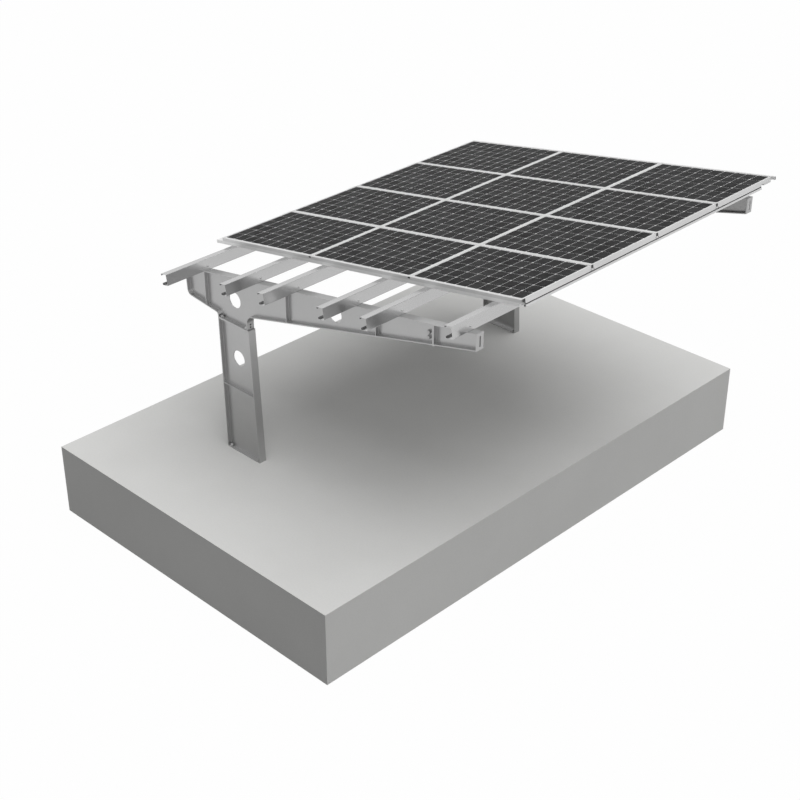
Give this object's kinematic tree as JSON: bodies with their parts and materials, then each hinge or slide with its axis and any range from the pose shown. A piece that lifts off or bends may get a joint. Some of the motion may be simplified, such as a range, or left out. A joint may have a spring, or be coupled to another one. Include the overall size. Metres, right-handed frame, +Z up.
{
  "type": "solar carport",
  "caption": "Cantilever solar carport: two tapered steel frames on a concrete block carry a tilted roof of framed photovoltaic modules.",
  "frame": {"origin": "centre of the concrete block's underside", "axes": "+X along the rafters towards the roof's high edge, +Y along the purlins towards the far frame, +Z up"},
  "size_m": [5.9638, 7.83, 4.4851],
  "materials": {
    "concrete": "fine light grey concrete",
    "painted_steel": "grey paint, satin",
    "galvanised_steel": "smooth galvanised sheet",
    "zinc_steel": "dull zinc",
    "anodised_aluminium": "silver anodised",
    "module_glass": "dark crystalline cells under flat glass",
    "black_plastic": "matte black"
  },
  "bodies": {
    "root": {"foundation_slab": "concrete", "near_column": "painted_steel", "far_column": "painted_steel", "near_rafter": "painted_steel", "far_rafter": "painted_steel", "near_rafter_tip": "painted_steel", "far_rafter_tip": "painted_steel", "anchor_rods": "zinc_steel", "joint_bolts": "zinc_steel", "large_nuts": "zinc_steel", "tip_bolts": "zinc_steel", "tip_nuts": "zinc_steel", "tip_washers": "zinc_steel", "purlin_1": "galvanised_steel", "purlin_2": "galvanised_steel", "purlin_3": "galvanised_steel", "purlin_4": "galvanised_steel", "purlin_5": "galvanised_steel", "purlin_6": "galvanised_steel", "purlin_cleats": "zinc_steel", "cleat_bolts": "zinc_steel", "rail_bolts": "zinc_steel", "small_nuts": "zinc_steel", "rail_1": "anodised_aluminium", "rail_2": "anodised_aluminium", "rail_3": "anodised_aluminium", "rail_4": "anodised_aluminium", "rail_5": "anodised_aluminium", "rail_caps": "anodised_aluminium", "near_edge_profile": "anodised_aluminium", "far_edge_profile": "anodised_aluminium", "row_strips": "anodised_aluminium", "column_strips": "anodised_aluminium", "fascia": "anodised_aluminium", "trim_screws": "zinc_steel", "junction_boxes": "black_plastic", "module_frame_11": "anodised_aluminium", "module_frame_12": "anodised_aluminium", "module_frame_13": "anodised_aluminium", "module_frame_14": "anodised_aluminium", "module_frame_21": "anodised_aluminium", "module_frame_22": "anodised_aluminium", "module_frame_23": "anodised_aluminium", "module_frame_24": "anodised_aluminium", "module_frame_31": "anodised_aluminium", "module_frame_32": "anodised_aluminium", "module_frame_33": "anodised_aluminium", "module_frame_34": "anodised_aluminium", "laminate_11": "module_glass", "laminate_12": "module_glass", "laminate_13": "module_glass", "laminate_14": "module_glass", "laminate_21": "module_glass", "laminate_22": "module_glass", "laminate_23": "module_glass", "laminate_24": "module_glass", "laminate_31": "module_glass", "laminate_32": "module_glass", "laminate_33": "module_glass", "laminate_34": "module_glass"}
  },
  "joints": []
}
